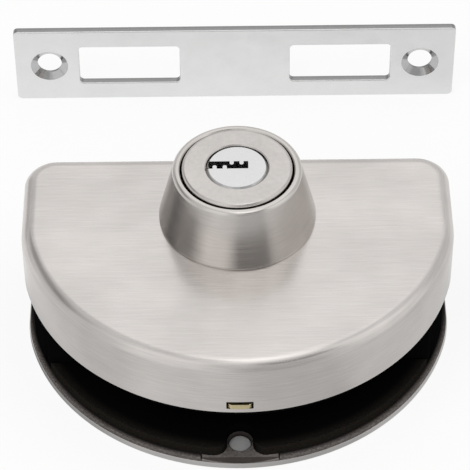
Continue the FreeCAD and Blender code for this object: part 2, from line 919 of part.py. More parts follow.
def peg(side, clearance):
    start_y = edge_y - front_wall - peg_length
    return rod_along(vec(side * peg_x, start_y - clearance, cover_top_z - peg_z_drop), vec(0, 1, 0),
                     peg_length + clearance, peg_radius + clearance)


def chassis():
    plate = slab(front_wall + shell_clearance, rim_z, chassis_top_z)
    collar = rod(0, 0, rim_z, chassis_top_z + collar_height, housing_radius + part_gap + collar_wall)
    plate = plate.fuse([collar] + [lug(side) for side in (-1, 1)]).removeSplitter()
    plate = plate.cut(rod(0, 0, chassis_top_z, cover_top_z, housing_radius + part_gap))
    plate = plate.cut(rod(0, 0, 0, cover_top_z, tail_hole_radius))
    for x, y in clamp_screw_places:
        hole = countersink(clamp_screw_radius, clamp_screw_length, screw_fit)
        plate = plate.cut(moved(hole, x, y, chassis_top_z))
    for side in (-1, 1):
        hole = flipped(countersink(cylinder_screw_radius, cylinder_screw_length, screw_fit))
        plate = plate.cut(moved(hole, 0, side * cylinder_screw_y, rim_z))
        plate = plate.cut(peg(side, part_gap))
        tapped_z = chassis_top_z - bracket_screw_bite - hole_end_room
        tapped = rod(side * bracket_screw_x, catch_end_y(), tapped_z, cover_top_z,
                     small_screw_radius + screw_fit)
        plate = plate.cut(tapped)
    return plate.cut(catch_space())


def chassis_screws():
    screw = countersunk_screw(clamp_screw_radius, clamp_screw_length, clamp_screw_radius)
    return Part.makeCompound([moved(screw, x, y, chassis_top_z) for x, y in clamp_screw_places])


def cover_pegs():
    return Part.makeCompound([peg(side, 0) for side in (-1, 1)])


def front_cover():
    outer = slab(0, rim_z, cover_top_z)
    outer = outer.makeFillet(front_round, edges_at_height(outer, cover_top_z))
    inner = slab(front_wall, rim_z - overrun, cover_top_z - front_wall)
    inner = inner.makeFillet(front_inner_round, edges_at_height(inner, cover_top_z - front_wall))
    shell = outer.cut(inner)
    shell = shell.cut(rod(0, 0, rim_z, cover_top_z + overrun, spigot_radius + spigot_clearance))
    half = window_width / 2
    low_z = catch_low_z() - window_floor_room
    back_y = -arc_depth + front_wall + overrun
    window = box(-half, half, -arc_depth - overrun, back_y, low_z, low_z + window_height)
    return shell.cut(window)


# Catch of the front cover


def catch_low_z():
    return rim_z + catch_floor


def catch_nose_y():
    return -arc_depth - catch_proud


def catch_end_y():
    return catch_nose_y() + catch_length


def catch_solid(side_clearance, end_room):
    # The catch, or the space that it slides in
    half = catch_width / 2 + side_clearance
    wing = half + catch_wing
    low_z = catch_low_z() - side_clearance
    high_z = catch_low_z() + catch_height + side_clearance
    wing_y = catch_end_y() - catch_wing_length - side_clearance
    nose = box(-half, half, catch_nose_y(), catch_end_y() + end_room, low_z, high_z)
    wings = box(-wing, wing, wing_y, catch_end_y() + end_room, low_z, high_z)
    return nose.fuse(wings).removeSplitter()


def catch_space():
    return catch_solid(catch_clearance, catch_spring_length)


def cover_catch():
    catch = catch_solid(0, 0)
    nose_edges = [edge for edge in catch.Edges if edge.BoundBox.YMax < catch_nose_y() + catch_edge]
    return catch.makeChamfer(catch_edge, nose_edges)


def catch_spring():
    start = vec(0, catch_end_y(), catch_low_z() + catch_height / 2)
    outer = rod_along(start, vec(0, 1, 0), catch_spring_length, catch_spring_radius)
    inner = rod_along(start, vec(0, 1, 0), catch_spring_length, catch_spring_radius - catch_spring_wall)
    return outer.cut(inner)


def catch_bracket():
    low_y = -arc_depth + front_wall + shell_clearance + bracket_setback
    bracket = box(-bracket_half_width, bracket_half_width, low_y, low_y + bracket_depth,
                  chassis_top_z, chassis_top_z + bracket_thickness)
    corners = [edge for edge in bracket.Edges if edge.BoundBox.ZLength > bracket_thickness / 2]
    bracket = bracket.makeFillet(bracket_corner_round, corners)
    for side in (-1, 1):
        bracket = bracket.cut(rod(side * bracket_screw_x, catch_end_y(), 0, cover_top_z,
                                  small_screw_radius + screw_fit))
    return bracket.cut(catch_space())


def bracket_screws():
    head_radius = 2 * small_screw_radius
    tip_z = chassis_top_z - bracket_screw_bite
    seat_z = chassis_top_z + bracket_thickness
    head_z = seat_z + small_head_height
    screw = turned([
        (0, tip_z), (small_screw_radius, tip_z), (small_screw_radius, seat_z),
        (head_radius, seat_z), (head_radius, head_z), (0, head_z),
    ])
    screw = screw.cut(hexagon(small_screw_radius, head_z - small_head_recess, head_z + small_head_height))
    return Part.makeCompound([
        moved(screw, side * bracket_screw_x, catch_end_y(), 0) for side in (-1, 1)
    ])


# Strike plate


def rounded_block(width, height, depth, radius):
    # Block along Y, centred on X and Z, with its four long edges rounded
    block = box(-width / 2, width / 2, 0, depth, -height / 2, height / 2)
    edges = [edge for edge in block.Edges if edge.BoundBox.YLength > depth / 2]
    return block.makeFillet(radius, edges)


def strike_plate():
    plate = rounded_block(strike_length, strike_width, strike_thickness, strike_corner_round)
    plate = moved(plate, 0, strike_distance, strike_width / 2)
    for side in bolt_sides:
        window = rounded_block(strike_window_width, strike_window_height, strike_thickness + 2 * overrun,
                               strike_window_round)
        plate = plate.cut(moved(window, side * bolt_spacing / 2, strike_distance - overrun, bolt_z))
    front_edges = [edge for edge in plate.Edges if edge.BoundBox.YMax < strike_distance + strike_edge_round]
    plate = plate.makeFillet(strike_edge_round, front_edges)
    for side in bolt_sides:
        sink = turned([
            (0, overrun), (strike_sink_radius, overrun), (strike_sink_radius, 0),
            (strike_screw_radius, -strike_sink_depth),
            (strike_screw_radius, -strike_thickness - overrun), (0, -strike_thickness - overrun),
        ])
        sink.rotate(vec(0, 0, 0), vec(1, 0, 0), 90)
        sink.translate(vec(side * strike_screw_spacing / 2, strike_distance, bolt_z))
        plate = plate.cut(sink)
    return plate


nodes = {
    "back_cover": back_cover,
    "cover_stud": cover_stud,
    "back_plate": back_plate,
    "plate_foot": plate_foot,
    "back_plate_screws": back_plate_screws,
    "back_gasket": back_gasket,
    "front_gasket": front_gasket,
    "lock_case": lock_case,
    "case_cover": case_cover,
    "case_cover_screws": case_cover_screws,
    "faceplate": faceplate,
    "faceplate_screws": faceplate_screws,
    "bolt_left": lambda: bolt(-1),
    "bolt_right": lambda: bolt(1),
    "carrier_pins": carrier_pins,
    "bolt_carrier": bolt_carrier,
    "tail_pinion": tail_pinion,
    "tail_screws": tail_screws,
    "cylinder_plug": cylinder_plug,
    "key_pins": key_pins,
    "driver_pins": driver_pins,
    "pin_springs": pin_springs,
    "pin_caps": pin_caps,
    "cylinder_housing": cylinder_housing,
    "cylinder_screws": cylinder_screws,
    "cylinder_guard": cylinder_guard,
    "guard_nut": guard_nut,
    "chassis": chassis,
    "chassis_screws": chassis_screws,
    "front_cover": front_cover,
    "cover_pegs": cover_pegs,
    "cover_catch": cover_catch,
    "catch_spring": catch_spring,
    "catch_bracket": catch_bracket,
    "bracket_screws": bracket_screws,
    "strike_plate": strike_plate,
}

os.makedirs("parts", exist_ok=True)
for name, make in nodes.items():
    shape = make()
    shape.exportStep("parts/" + name + ".step")
    print(name, "solids", len(shape.Solids), "volume", round(shape.Volume, 1), "valid", shape.isValid())
print("bolt throw", round(bolt_throw, 4), "pitch radius", round(pitch_radius, 5))
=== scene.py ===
import math

import bmesh
import bpy
from mathutils import Matrix, Vector
from mathutils.geometry import tessellate_polygon


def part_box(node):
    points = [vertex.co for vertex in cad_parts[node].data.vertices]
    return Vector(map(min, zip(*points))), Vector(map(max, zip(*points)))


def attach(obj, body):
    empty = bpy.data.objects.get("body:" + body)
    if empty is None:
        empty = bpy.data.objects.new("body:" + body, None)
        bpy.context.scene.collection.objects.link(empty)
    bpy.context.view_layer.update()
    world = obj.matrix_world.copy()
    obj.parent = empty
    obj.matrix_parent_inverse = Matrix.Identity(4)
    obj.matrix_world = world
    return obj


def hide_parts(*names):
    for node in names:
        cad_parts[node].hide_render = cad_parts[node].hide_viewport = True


# Looks of the half-moon lock for a glass door. Lengths are in metres, in the part's own frame.
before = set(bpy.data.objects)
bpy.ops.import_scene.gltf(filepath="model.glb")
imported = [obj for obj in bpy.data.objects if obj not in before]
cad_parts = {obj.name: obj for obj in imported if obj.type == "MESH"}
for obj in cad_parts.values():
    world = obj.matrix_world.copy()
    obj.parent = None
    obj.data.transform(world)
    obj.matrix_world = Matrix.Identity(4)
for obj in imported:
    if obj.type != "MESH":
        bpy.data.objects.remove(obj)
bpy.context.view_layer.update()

MM = 0.001

# How finely curves are drawn. An extra ring beside a rounded edge, at the support's distance,
# keeps the flat face beyond it flat.
ARC_STEP = math.radians(2.0)
TOP_LINE_STEPS = 40
LATHE_STEPS = 180
EDGE_STEPS = 7
LIP_STEPS = 8
BEVEL_STEPS = 2
SUPPORT = 0.06 * MM
SHARP_ANGLE = math.radians(32.0)

# A normal's share along an axis, above which a face lies square to it, or is at least tilted to it
FLAT_NORMAL = 0.98
TILTED_NORMAL = 0.1

# Sizes that the frame gives
cover_low, cover_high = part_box("front_cover")
pan_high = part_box("back_cover")[1]
flange_low, flange_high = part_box("back_plate")
foot_low, foot_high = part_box("plate_foot")
stud_low, stud_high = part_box("cover_stud")
pad_low, pad_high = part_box("back_gasket")
front_pad_low, front_pad_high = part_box("front_gasket")
guard_low, guard_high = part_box("cylinder_guard")
housing_low, housing_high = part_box("cylinder_housing")
plug_low, plug_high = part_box("cylinder_plug")
catch_low, catch_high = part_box("cover_catch")
strike_low, strike_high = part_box("strike_plate")
bolt_low, bolt_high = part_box("bolt_right")
half_width = cover_high.x
edge_y = cover_high.y
arc_depth = -cover_low.y
rim_z = cover_low.z
cover_top_z = cover_high.z
stud_y = (stud_low.y + stud_high.y) / 2
bolt_x = (bolt_low.x + bolt_high.x) / 2
bolt_z = (bolt_low.z + bolt_high.z) / 2

# Sizes of the outline and of the edges, as in the part's source
SHOULDER_DROP = 6.0 * MM
SHOULDER_ROUND = 30.0 * MM
CORNER_ROUND = 8.0 * MM
COVER_WALL = 1.2 * MM
COVER_ROUND = 3.4 * MM
COVER_INNER_ROUND = 2.2 * MM
COVER_EDGE = 0.12 * MM
COVER_HOLE_RADIUS = 15.5 * MM
WINDOW_WIDTH = 6.4 * MM
WINDOW_HEIGHT = 2.4 * MM
WINDOW_FLOOR_ROOM = 0.2 * MM
WINDOW_ROUND = 0.25 * MM
PAN_WALL = 0.8 * MM
PAN_ROUND = 0.7 * MM
PAN_EDGE = 0.1 * MM
FLANGE_INSET = 0.25 * MM
FLANGE_EDGE = 0.22 * MM
FLANGE_THICKNESS = 1.0 * MM
LOWER_INSET = 0.95 * MM
SEAM = 0.25 * MM
FOOT_BEVEL = 1.0 * MM
FOOT_EDGE = 0.12 * MM
FOOT_HOLE_RADIUS = 2.75 * MM
FOOT_HOLE_EDGE = 0.3 * MM
STUD_EDGE = 0.3 * MM
STUD_FLAT = 0.15 * MM
STUD_DISH = 0.12 * MM
PAD_INSET = 1.45 * MM
PAD_EDGE = 0.35 * MM
PAD_NOTCH = 3.1 * MM
PAD_FLARE = 3.2 * MM
FRONT_PAD_INSET = 1.5 * MM
GUARD_RIM = 0.6 * MM
GUARD_RIM_EDGE = 0.18 * MM
GUARD_TOP_WALL = 1.65 * MM
GUARD_LIP_ROUND = 1.1 * MM
GUARD_BORE_EDGE = 0.25 * MM
GUARD_BORE_RADIUS = 13.8 * MM
SPIGOT_RADIUS = 15.4 * MM
HOUSING_ROUND = 0.8 * MM
HOUSING_BORE_EDGE = 0.25 * MM
HEAD_CLEARANCE = 0.12 * MM
PLUG_EDGE = 0.55 * MM
PLUG_HEAD_DEPTH = 2.2 * MM
PLUG_STEP = 0.55 * MM
KEY_SLOT_END_X = 2.67 * MM
KEY_SLOT_Y = 0.72 * MM
KEY_SLOT_HEIGHT = 2.5 * MM
KEY_SLOT_DEPTH = 23.0 * MM
WARD_HEIGHT = 1.15 * MM
WARD_WIDTH = 1.0 * MM
UPPER_WARDS = (-1.29 * MM, 1.07 * MM)
LOWER_WARDS = (-5.39 * MM, -2.96 * MM)
CATCH_HALF = 2.8 * MM
CATCH_WING_LENGTH = 2.6 * MM
CATCH_EDGE = 0.15 * MM
CATCH_CORNER = 0.7 * MM
CATCH_TIP_HEIGHT = 1.3 * MM
CATCH_TIP_DEPTH = 3.0 * MM
STRIKE_ROUND = 1.3 * MM
STRIKE_EDGE = 0.3 * MM
STRIKE_BACK_EDGE = 0.08 * MM
STRIKE_WINDOW_ROUND = 1.2 * MM
STRIKE_SIDE_PLAY = 1.0 * MM
STRIKE_PLAY = 1.45 * MM
STRIKE_SCREW_MARGIN = 9.3 * MM
STRIKE_SCREW_RADIUS = 3.3 * MM
STRIKE_SINK_RADIUS = 5.1 * MM
STRIKE_SINK_DEPTH = 1.3 * MM
CUTTER_ROUND_SHARE = 0.01

# Camera, fitted to the photograph, with its target in the part's frame.
# Its elevation is in degrees, and its yaw and roll are in radians.
CAMERA_SENSOR = 36.0
CAMERA_LENS = 194.57
CAMERA_DISTANCE = 0.666
CAMERA_TARGET = (-0.000524, 0.02907, 0.0)
CAMERA_ELEVATION = 45.36
CAMERA_YAW = -0.004
CAMERA_ROLL = -0.008

# Studio, as metal reflects it: an even tent with soft boxes and dark flags, and a floor in front of it.
# Azimuth is counted from the camera's side, to the right, up to 180 at the back. Angles are in degrees.
FLOOR_SIZE = 4.0
FLOOR_COLOUR = (0.9, 0.9, 0.9)
FLOOR_GLOW = 0.85
FLOOR_REFLECTION = (
    (-180, 0.95), (-105, 0.95), (-90, 0.8), (-70, 0.73), (-46, 0.7), (-31, 0.82), (-14, 0.75), (12, 0.61),
    (33, 0.6), (46, 0.73), (92, 0.73), (106, 0.87), (180, 0.95),
)
# Painted contact shadow: how much darker the floor's glow for glossy rays is right beside the object, by
# azimuth, and how far that reaches
FLOOR_CONTACT = (
    (-180, 0.0), (-120, 0.0), (-95, 0.6), (-75, 0.6), (-45, 0.3), (0, 0.1), (90, 0.1), (180, 0.0),
)
CONTACT_REACH = 10.0 * MM
AMBIENT = 0.75
TENT = 0.74
SEAM_AZIMUTH = -150.0
# Each is a span of azimuth, a span of elevation, the width of its soft edge, and the light that it adds
BOXES = (
    ((140, 200), (38, 100), 14, 0.34),
    ((-20, 210), (73, 100), 8, 0.55),
    ((100, 200), (76, 100), 6, 0.25),
    ((-144, -92), (28, 50), 12, -0.42),
    ((-144, -126), (-14, 19), 8, -0.2),
    ((-70, -20), (44, 70), 8, 0.3),
    ((12, 56), (46, 62), 8, -0.5),
    ((58, 104), (34, 66), 8, 0.3),
    ((-56, -16), (-5, 42), 10, 0.2),
    ((-2, 42), (-5, 38), 10, -0.22),
    ((54, 100), (-5, 34), 12, 0.15),
)
# These only show to rays of more than this depth, where one piece of metal reflects another,
# as the guard does with the cover's top
BOUNCED_DEPTH = 2.5
BOUNCED_BOXES = (
    ((-118, -62), (-10, 40), 16, -0.38),
    ((-48, -10), (-10, 30), 12, 0.38),
    ((-4, 45), (-10, 30), 12, -0.26),
    ((58, 98), (-10, 30), 12, -0.14),
    ((-170, 230), (62, 100), 12, 0.4),
)
# Name, azimuth, elevation, distance, size and power. They light the object, and metal doesn't show them.
LAMPS = (
    ("key lamp", -35, 55, 0.9, 0.5, 2.2),
    ("fill lamp", 70, 50, 1.0, 0.6, 1.2),
)


# Loops: closed lists of points that run anticlockwise round the material


def arc_points(x, y, radius, start, end):
    count = max(2, math.ceil(abs(end - start) / ARC_STEP))
    angles = [start + (end - start) * step / count for step in range(count + 1)]
    return [Vector((x + radius * math.cos(angle), y + radius * math.sin(angle))) for angle in angles]


def circle(x, y, radius):
    return arc_points(x, y, radius, 0, 2 * math.pi)[:-1]


def rounded_box(x0, x1, y0, y1, radius):
    quarter = math.pi / 2
    corners = [(x1, y0, -1), (x1, y1, 0), (x0, y1, 1), (x0, y0, 2)]
    points = []
    for x, y, turn in corners:
        centre_x = x - math.copysign(radius, x - (x0 + x1) / 2)
        centre_y = y - math.copysign(radius, y - (y0 + y1) / 2)
        points += arc_points(centre_x, centre_y, radius, turn * quarter, (turn + 1) * quarter)
    return points


def between(start, end, count):
    return [start.lerp(end, step / count) for step in range(1, count)]


def main_arc():
    # Radius and centre of the large arc
    rise = arc_depth - SHOULDER_DROP
    radius = (half_width ** 2 + rise ** 2) / (2 * rise)
    return radius, radius - arc_depth


def half_moon(inset):
    radius, centre_y = main_arc()
    blend_x = half_width - SHOULDER_ROUND
    blend_y = centre_y - math.sqrt((radius - SHOULDER_ROUND) ** 2 - blend_x ** 2)
    turn = math.atan2(blend_y - centre_y, blend_x)
    corner_x = half_width - CORNER_ROUND
    corner_y = edge_y - CORNER_ROUND
    blend = SHOULDER_ROUND - inset
    corner = CORNER_ROUND - inset
    quarter = math.pi / 2
    points = arc_points(0, centre_y, radius - inset, -math.pi - turn, turn)[:-1]
    points += arc_points(blend_x, blend_y, blend, turn, 0)
    points += arc_points(corner_x, corner_y, corner, 0, quarter)
    points += between(points[-1], Vector((-corner_x, edge_y - inset)), TOP_LINE_STEPS)
    points += arc_points(-corner_x, corner_y, corner, quarter, 2 * quarter)
    points += arc_points(-blend_x, blend_y, blend, math.pi, math.pi - turn)[:-1]
    return points


def shifted(points, distance):
    # The loop moved inwards by distance, with mitred corners
    moved = []
    for before, here, after in zip(points[-1:] + points[:-1], points, points[1:] + points[:1]):
        first = (here - before).normalized()
        second = (after - here).normalized()
        both = (first + second).normalized()
        inward = Vector((-both.y, both.x))
        moved.append(here + inward * (distance / both.dot(first)))
    return moved


def at_height(points, z):
    return [Vector((point.x, point.y, z)) for point in points]


def edge_angles(radius):
    # A sharp edge has one point, and a rounded one a row of them
    return [math.pi / 2 * step / EDGE_STEPS for step in range(EDGE_STEPS + 1)] if radius else [0.0]


def rounded_wall(low_z, high_z, low_edge, high_edge):
    # Wall profile as (inset, height) pairs from the lower face to the upper one
    low = [
        (low_edge * (1 - math.sin(angle)), low_z + low_edge * (1 - math.cos(angle)))
        for angle in edge_angles(low_edge)
    ]
    high = [
        (high_edge * (1 - math.cos(angle)), high_z - high_edge * (1 - math.sin(angle)))
        for angle in edge_angles(high_edge)
    ]
    return low + high


# Meshes


def start_mesh():
    mesh = bmesh.new()
    return mesh, mesh.loops.layers.uv.new("brush")


def walk_lengths(ring):
    # Distance along a closed ring at each of its points, in millimetres
    lengths = [0.0]
    for here, after in zip(ring, ring[1:] + ring[:1]):
        lengths.append(lengths[-1] + (after.co - here.co).length / MM)
    return lengths


def add_wall(mesh, brush, rings):
    # Quads between rings, brushed along the rings
    along = walk_lengths(rings[0])
    across = 0.0
    count = len(rings[0])
    for low, high in zip(rings[:-1], rings[1:]):
        height = (high[0].co - low[0].co).length / MM
        for i in range(count):
            j = (i + 1) % count
            face = mesh.faces.new((low[i], low[j], high[j], high[i]))
            left, right = along[i], along[i + 1]
            places = ((left, across), (right, across), (right, across + height), (left, across + height))
            for corner, place in zip(face.loops, places):
                corner[brush].uv = place
        across += height


def brush_flat(mesh, brush, angle):
    # Level faces are brushed in one direction, at an angle from X
    turn = Matrix.Rotation(-angle, 2)
    for face in mesh.faces:
        if abs(face.normal.z) > FLAT_NORMAL:
            for corner in face.loops:
                corner[brush].uv = turn @ (corner.vert.co.xy / MM)


def make_piece(name, mesh):
    bmesh.ops.recalc_face_normals(mesh, faces=mesh.faces)
    data = bpy.data.meshes.new(name)
    mesh.to_mesh(data)
    mesh.free()
    piece = bpy.data.objects.new(name, data)
    bpy.context.scene.collection.objects.link(piece)
    shade(piece)
    return piece


def shade(piece):
    for face in piece.data.polygons:
        face.use_smooth = True
    piece.data.set_sharp_from_angle(angle=SHARP_ANGLE)


def loft(name, loops, closed, flat_angle=None):
    # Skin through rings. A closed one joins its last ring to its first, and an open one is capped.
    mesh, brush = start_mesh()
    rings = [[mesh.verts.new(point) for point in loop] for loop in loops]
    add_wall(mesh, brush, rings + rings[:1] if closed else rings)
    if not closed:
        mesh.faces.new(rings[0][::-1])
        mesh.faces.new(rings[-1])
    mesh.normal_update()
    if flat_angle is not None:
        brush_flat(mesh, brush, flat_angle)
    return make_piece(name, mesh)


def plate(name, outer, wall, holes=()):
    # Plate with holes. Each hole is a loop and its own wall profile.
    mesh, brush = start_mesh()
    lower, upper = [], []
    for points, profile, side in [(outer, wall, 1)] + [(loop, profile, -1) for loop, profile in holes]:
        rings = [
            [mesh.verts.new((point.x, point.y, z)) for point in shifted(points, side * inset)]
            for inset, z in profile
        ]
        add_wall(mesh, brush, rings)
        lower.append(rings[0])
        upper.append(rings[-1])
    for loops in (lower, upper):
        corners = [vertex for loop in loops for vertex in loop]
        for triangle in tessellate_polygon([[vertex.co for vertex in loop] for loop in loops]):
            mesh.faces.new([corners[index] for index in triangle])
    bmesh.ops.recalc_face_normals(mesh, faces=mesh.faces)
    mesh.normal_update()
    brush_flat(mesh, brush, 0.0)
    return make_piece(name, mesh)


def lathe(name, profile, closed, centre_y=0.0, flat_angle=None):
    # Solid of revolution from (radius, height) pairs, about an axis along Z
    angles = [2 * math.pi * step / LATHE_STEPS for step in range(LATHE_STEPS)]
    loops = [
        [Vector((radius * math.cos(a), centre_y + radius * math.sin(a), z)) for a in angles]
        for radius, z in profile
    ]
    return loft(name, loops, closed, flat_angle)


def cut(piece, cutter, operation="DIFFERENCE"):
    modifier = piece.modifiers.new("cut", "BOOLEAN")
    modifier.object = cutter
    modifier.operation = operation
    modifier.solver = "EXACT"
    bpy.context.view_layer.update()
    shaped = piece.evaluated_get(bpy.context.evaluated_depsgraph_get())
    data = bpy.data.meshes.new_from_object(shaped)
    piece.modifiers.remove(modifier)
    piece.data = data
    bpy.data.objects.remove(cutter)
    shade(piece)


def block(low, high):
    # Box for cutting, from its lowest corner to its highest one
    corner = CUTTER_ROUND_SHARE * min(high[0] - low[0], high[1] - low[1])
    points = rounded_box(low[0], high[0], low[1], high[1], corner)
    return plate("cutter", points, [(0, low[2]), (0, high[2])])


def turn_upright(piece, y, z):
    # Stands a level plate on edge: its upper face looks along -Y
    piece.data.transform(Matrix.Translation((0, y, z)) @ Matrix.Rotation(math.pi / 2, 4, "X"))


def dress(piece, body, node, slot):
    # The piece stands in for a node's solid, with the finish of that slot
    piece.data.materials.clear()
    piece.data.materials.append(finishes[slot])
    piece.data.polygons.foreach_set("material_index", [0] * len(piece.data.polygons))
    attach(piece, body)
    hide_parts(node)


def mark_faces(piece, material, chosen):
    # The chosen faces get a material of their own
    piece.data.materials.append(material)
    for face in piece.data.polygons:
        if chosen(face):
            face.material_index = len(piece.data.materials) - 1


# Materials. The scale of a noise is in waves per millimetre: along, across and through the brushing,
# or along X, Y and Z. Most of a noise lies within its span, which is stretched to the wanted one.

NOISE_SPAN = (0.3, 0.7)
NOISE_ROUGHNESS = 0.55
ROUGHNESS_SPAN = (0.85, 1.15)
FINE_ALONG, FINE_ACROSS = 0.13, 3.4
WIDE_ALONG, WIDE_ACROSS = 0.04, 1.4
CLOUDS = (0.05, 0.07, 0.07)
STAINS = (0.12, 0.12, 0.12)
WIDE_SHARE = 0.3
CLOUD_SHARE = 0.45
STAIN_SHARE = 0.5
STREAK_DEPTH = 0.01 * MM
STREAK_BUMP = 0.5
GRAIN_BUMP = 0.6
QUARTER_TURN = 0.25
BAND_ROUGHNESS = 0.7
BAND_GRAIN = (0.3, 1.0)
STEEL = (0.662, 0.628, 0.605)
# Rubber nearer black than black rubber is, as painted shade under the cover. The back pad is painted
# lighter over its outer edge, where it stands out of the cover's shade.
RUBBER = (0.0025, 0.0025, 0.0026)
RUBBER_LIT_EDGE = (0.017, 0.0145, 0.012)
LIT_EDGE_REACH = 3.2 * MM
LIT_EDGE_BAND = (PAD_INSET + LIT_EDGE_REACH, PAD_INSET)
# The back plate's ledge is painted darker inwards, towards the pad, as shade under the cover, and lighter
# at its outer edge, where light falls on it
LEDGE_SHADED = (0.022, 0.019, 0.018)
LEDGE_LIT = (0.19, 0.172, 0.163)
LEDGE_BAND = (1.45 * MM, 0.45 * MM)


def new_material(name, colour, metallic, roughness):
    material = bpy.data.materials.new(name)
    material.use_nodes = True
    shader = material.node_tree.nodes["Principled BSDF"]
    shader.inputs["Base Color"].default_value = (*colour, 1)
    shader.inputs["Metallic"].default_value = metallic
    shader.inputs["Roughness"].default_value = roughness
    return material, material.node_tree, shader


def brush_coordinates(tree):
    # Millimetres along and across the brushing
    node = tree.nodes.new("ShaderNodeUVMap")
    node.uv_map = "brush"
    return node.outputs["UV"]


def body_coordinates(tree):
    # Millimetres in the part's frame
    node = tree.nodes.new("ShaderNodeTexCoord")
    return scaled(tree, node.outputs["Object"], (1 / MM, 1 / MM, 1 / MM))


def scaled(tree, source, scale):
    node = tree.nodes.new("ShaderNodeMapping")
    node.inputs["Scale"].default_value = scale
    tree.links.new(source, node.inputs["Vector"])
    return node.outputs["Vector"]


def noise(tree, source, scale, detail):
    node = tree.nodes.new("ShaderNodeTexNoise")
    node.inputs["Scale"].default_value = 1.0
    node.inputs["Detail"].default_value = detail
    node.inputs["Roughness"].default_value = NOISE_ROUGHNESS
    tree.links.new(scaled(tree, source, scale), node.inputs["Vector"])
    return node.outputs["Fac"]


def feed(tree, value, socket):
    # The value is a number or another socket
    if isinstance(value, (int, float)):
        socket.default_value = value
    else:
        tree.links.new(value, socket)


def math_node(tree, operation, *values):
    node = tree.nodes.new("ShaderNodeMath")
    node.operation = operation
    for socket, value in zip(node.inputs, values):
        feed(tree, value, socket)
    return node.outputs[0]


def map_range(tree, source, source_span, span=(0.0, 1.0), interpolation="LINEAR"):
    node = tree.nodes.new("ShaderNodeMapRange")
    node.interpolation_type = interpolation
    for socket, value in zip(("From Min", "From Max", "To Min", "To Max"), (*source_span, *span)):
        node.inputs[socket].default_value = value
    tree.links.new(source, node.inputs["Value"])
    return node.outputs["Result"]


def blended(tree, first, second, share):
    node = tree.nodes.new("ShaderNodeMix")
    node.inputs[0].default_value = share
    tree.links.new(first, node.inputs[2])
    tree.links.new(second, node.inputs[3])
    return node.outputs[0]


def mixed_colour(tree, first, second, share):
    node = tree.nodes.new("ShaderNodeMix")
    node.data_type = "RGBA"
    node.inputs[6].default_value = (*first, 1)
    node.inputs[7].default_value = (*second, 1)
    tree.links.new(share, node.inputs[0])
    return node.outputs[2]


def mixed_shader(tree, first, second, share):
    node = tree.nodes.new("ShaderNodeMixShader")
    tree.links.new(share, node.inputs["Fac"])
    tree.links.new(first, node.inputs[1])
    tree.links.new(second, node.inputs[2])
    return node.outputs["Shader"]


def colour_by(tree, shader, source, colour, spread):
    # Base colour that varies by plus and minus spread
    low = [channel * (1 - spread) for channel in colour]
    high = [min(1.0, channel * (1 + spread)) for channel in colour]
    varied = mixed_colour(tree, low, high, map_range(tree, source, NOISE_SPAN))
    tree.links.new(varied, shader.inputs["Base Color"])


def roughness_by(tree, shader, source, roughness):
    low, high = [share * roughness for share in ROUGHNESS_SPAN]
    varied = map_range(tree, source, NOISE_SPAN, (low, min(1.0, high)))
    tree.links.new(varied, shader.inputs["Roughness"])


def bump(tree, shader, source, distance, strength):
    node = tree.nodes.new("ShaderNodeBump")
    node.inputs["Strength"].default_value = strength
    node.inputs["Distance"].default_value = distance
    tree.links.new(source, node.inputs["Height"])
    tree.links.new(node.outputs["Normal"], shader.inputs["Normal"])


def brushed(name, colour, roughness, grain, spread, anisotropy):
    # Metal brushed along the lines of the map: long streaks, fine across, over soft clouds
    material, tree, shader = new_material(name, colour, 1.0, roughness)
    brush = brush_coordinates(tree)
    fine = noise(tree, brush, (FINE_ALONG, FINE_ACROSS * grain, 1), detail=3.0)
    wide = noise(tree, brush, (WIDE_ALONG, WIDE_ACROSS * grain, 1), detail=2.0)
    cloud = noise(tree, body_coordinates(tree), CLOUDS, detail=2.0)
    streaks = blended(tree, fine, wide, WIDE_SHARE)
    colour_by(tree, shader, blended(tree, streaks, cloud, CLOUD_SHARE), colour, spread)
    roughness_by(tree, shader, fine, roughness)
    bump(tree, shader, fine, STREAK_DEPTH, STREAK_BUMP)
    shader.inputs["Anisotropic"].default_value = anisotropy
    shader.inputs["Anisotropic Rotation"].default_value = QUARTER_TURN
    tangent = tree.nodes.new("ShaderNodeTangent")
    tangent.direction_type = "UV_MAP"
    tangent.uv_map = "brush"
    tree.links.new(tangent.outputs["Tangent"], shader.inputs["Tangent"])
    return material


def grained(name, colour, metallic, roughness, size, depth, spread, specular=0.5):
    # Cast, plated or moulded surface: a grain of this size in millimetres, and soft stains
    material, tree, shader = new_material(name, colour, metallic, roughness)
    place = body_coordinates(tree)
    grain = noise(tree, place, (1 / size, 1 / size, 1 / size), detail=5.0)
    stain = noise(tree, place, STAINS, detail=3.0)
    colour_by(tree, shader, blended(tree, grain, stain, STAIN_SHARE), colour, spread)
    roughness_by(tree, shader, grain, roughness)
    bump(tree, shader, grain, depth, GRAIN_BUMP)
    shader.inputs["Specular IOR Level"].default_value = specular
    return material


def from_axis(tree, source):
    # Distance from the large arc's axis, in millimetres
    node = tree.nodes.new("ShaderNodeVectorMath")
    node.operation = "DISTANCE"
    node.inputs[1].default_value = (0, main_arc()[1] / MM, 0)
    tree.links.new(scaled(tree, source, (1, 1, 0)), node.inputs[0])
    return node.outputs["Value"]


def shade_banded(name, inner, outer, insets, metallic, size, depth):
    # Cast or moulded surface with painted light and shade: its colour goes from the inner one to the outer
    # one towards the large arc, between two insets from it
    material, tree, shader = new_material(name, inner, metallic, BAND_ROUGHNESS)
    place = body_coordinates(tree)
    grain = noise(tree, place, (1 / size, 1 / size, 1 / size), detail=4.0)
    radii = [(main_arc()[0] - inset) / MM for inset in insets]
    band = map_range(tree, from_axis(tree, place), radii, interpolation="SMOOTHSTEP")
    share = math_node(tree, "MULTIPLY", band, map_range(tree, grain, NOISE_SPAN, BAND_GRAIN))
    tree.links.new(mixed_colour(tree, inner, outer, share), shader.inputs["Base Color"])
    bump(tree, shader, grain, depth, GRAIN_BUMP)
    shader.inputs["Specular IOR Level"].default_value = 0.0
    return material


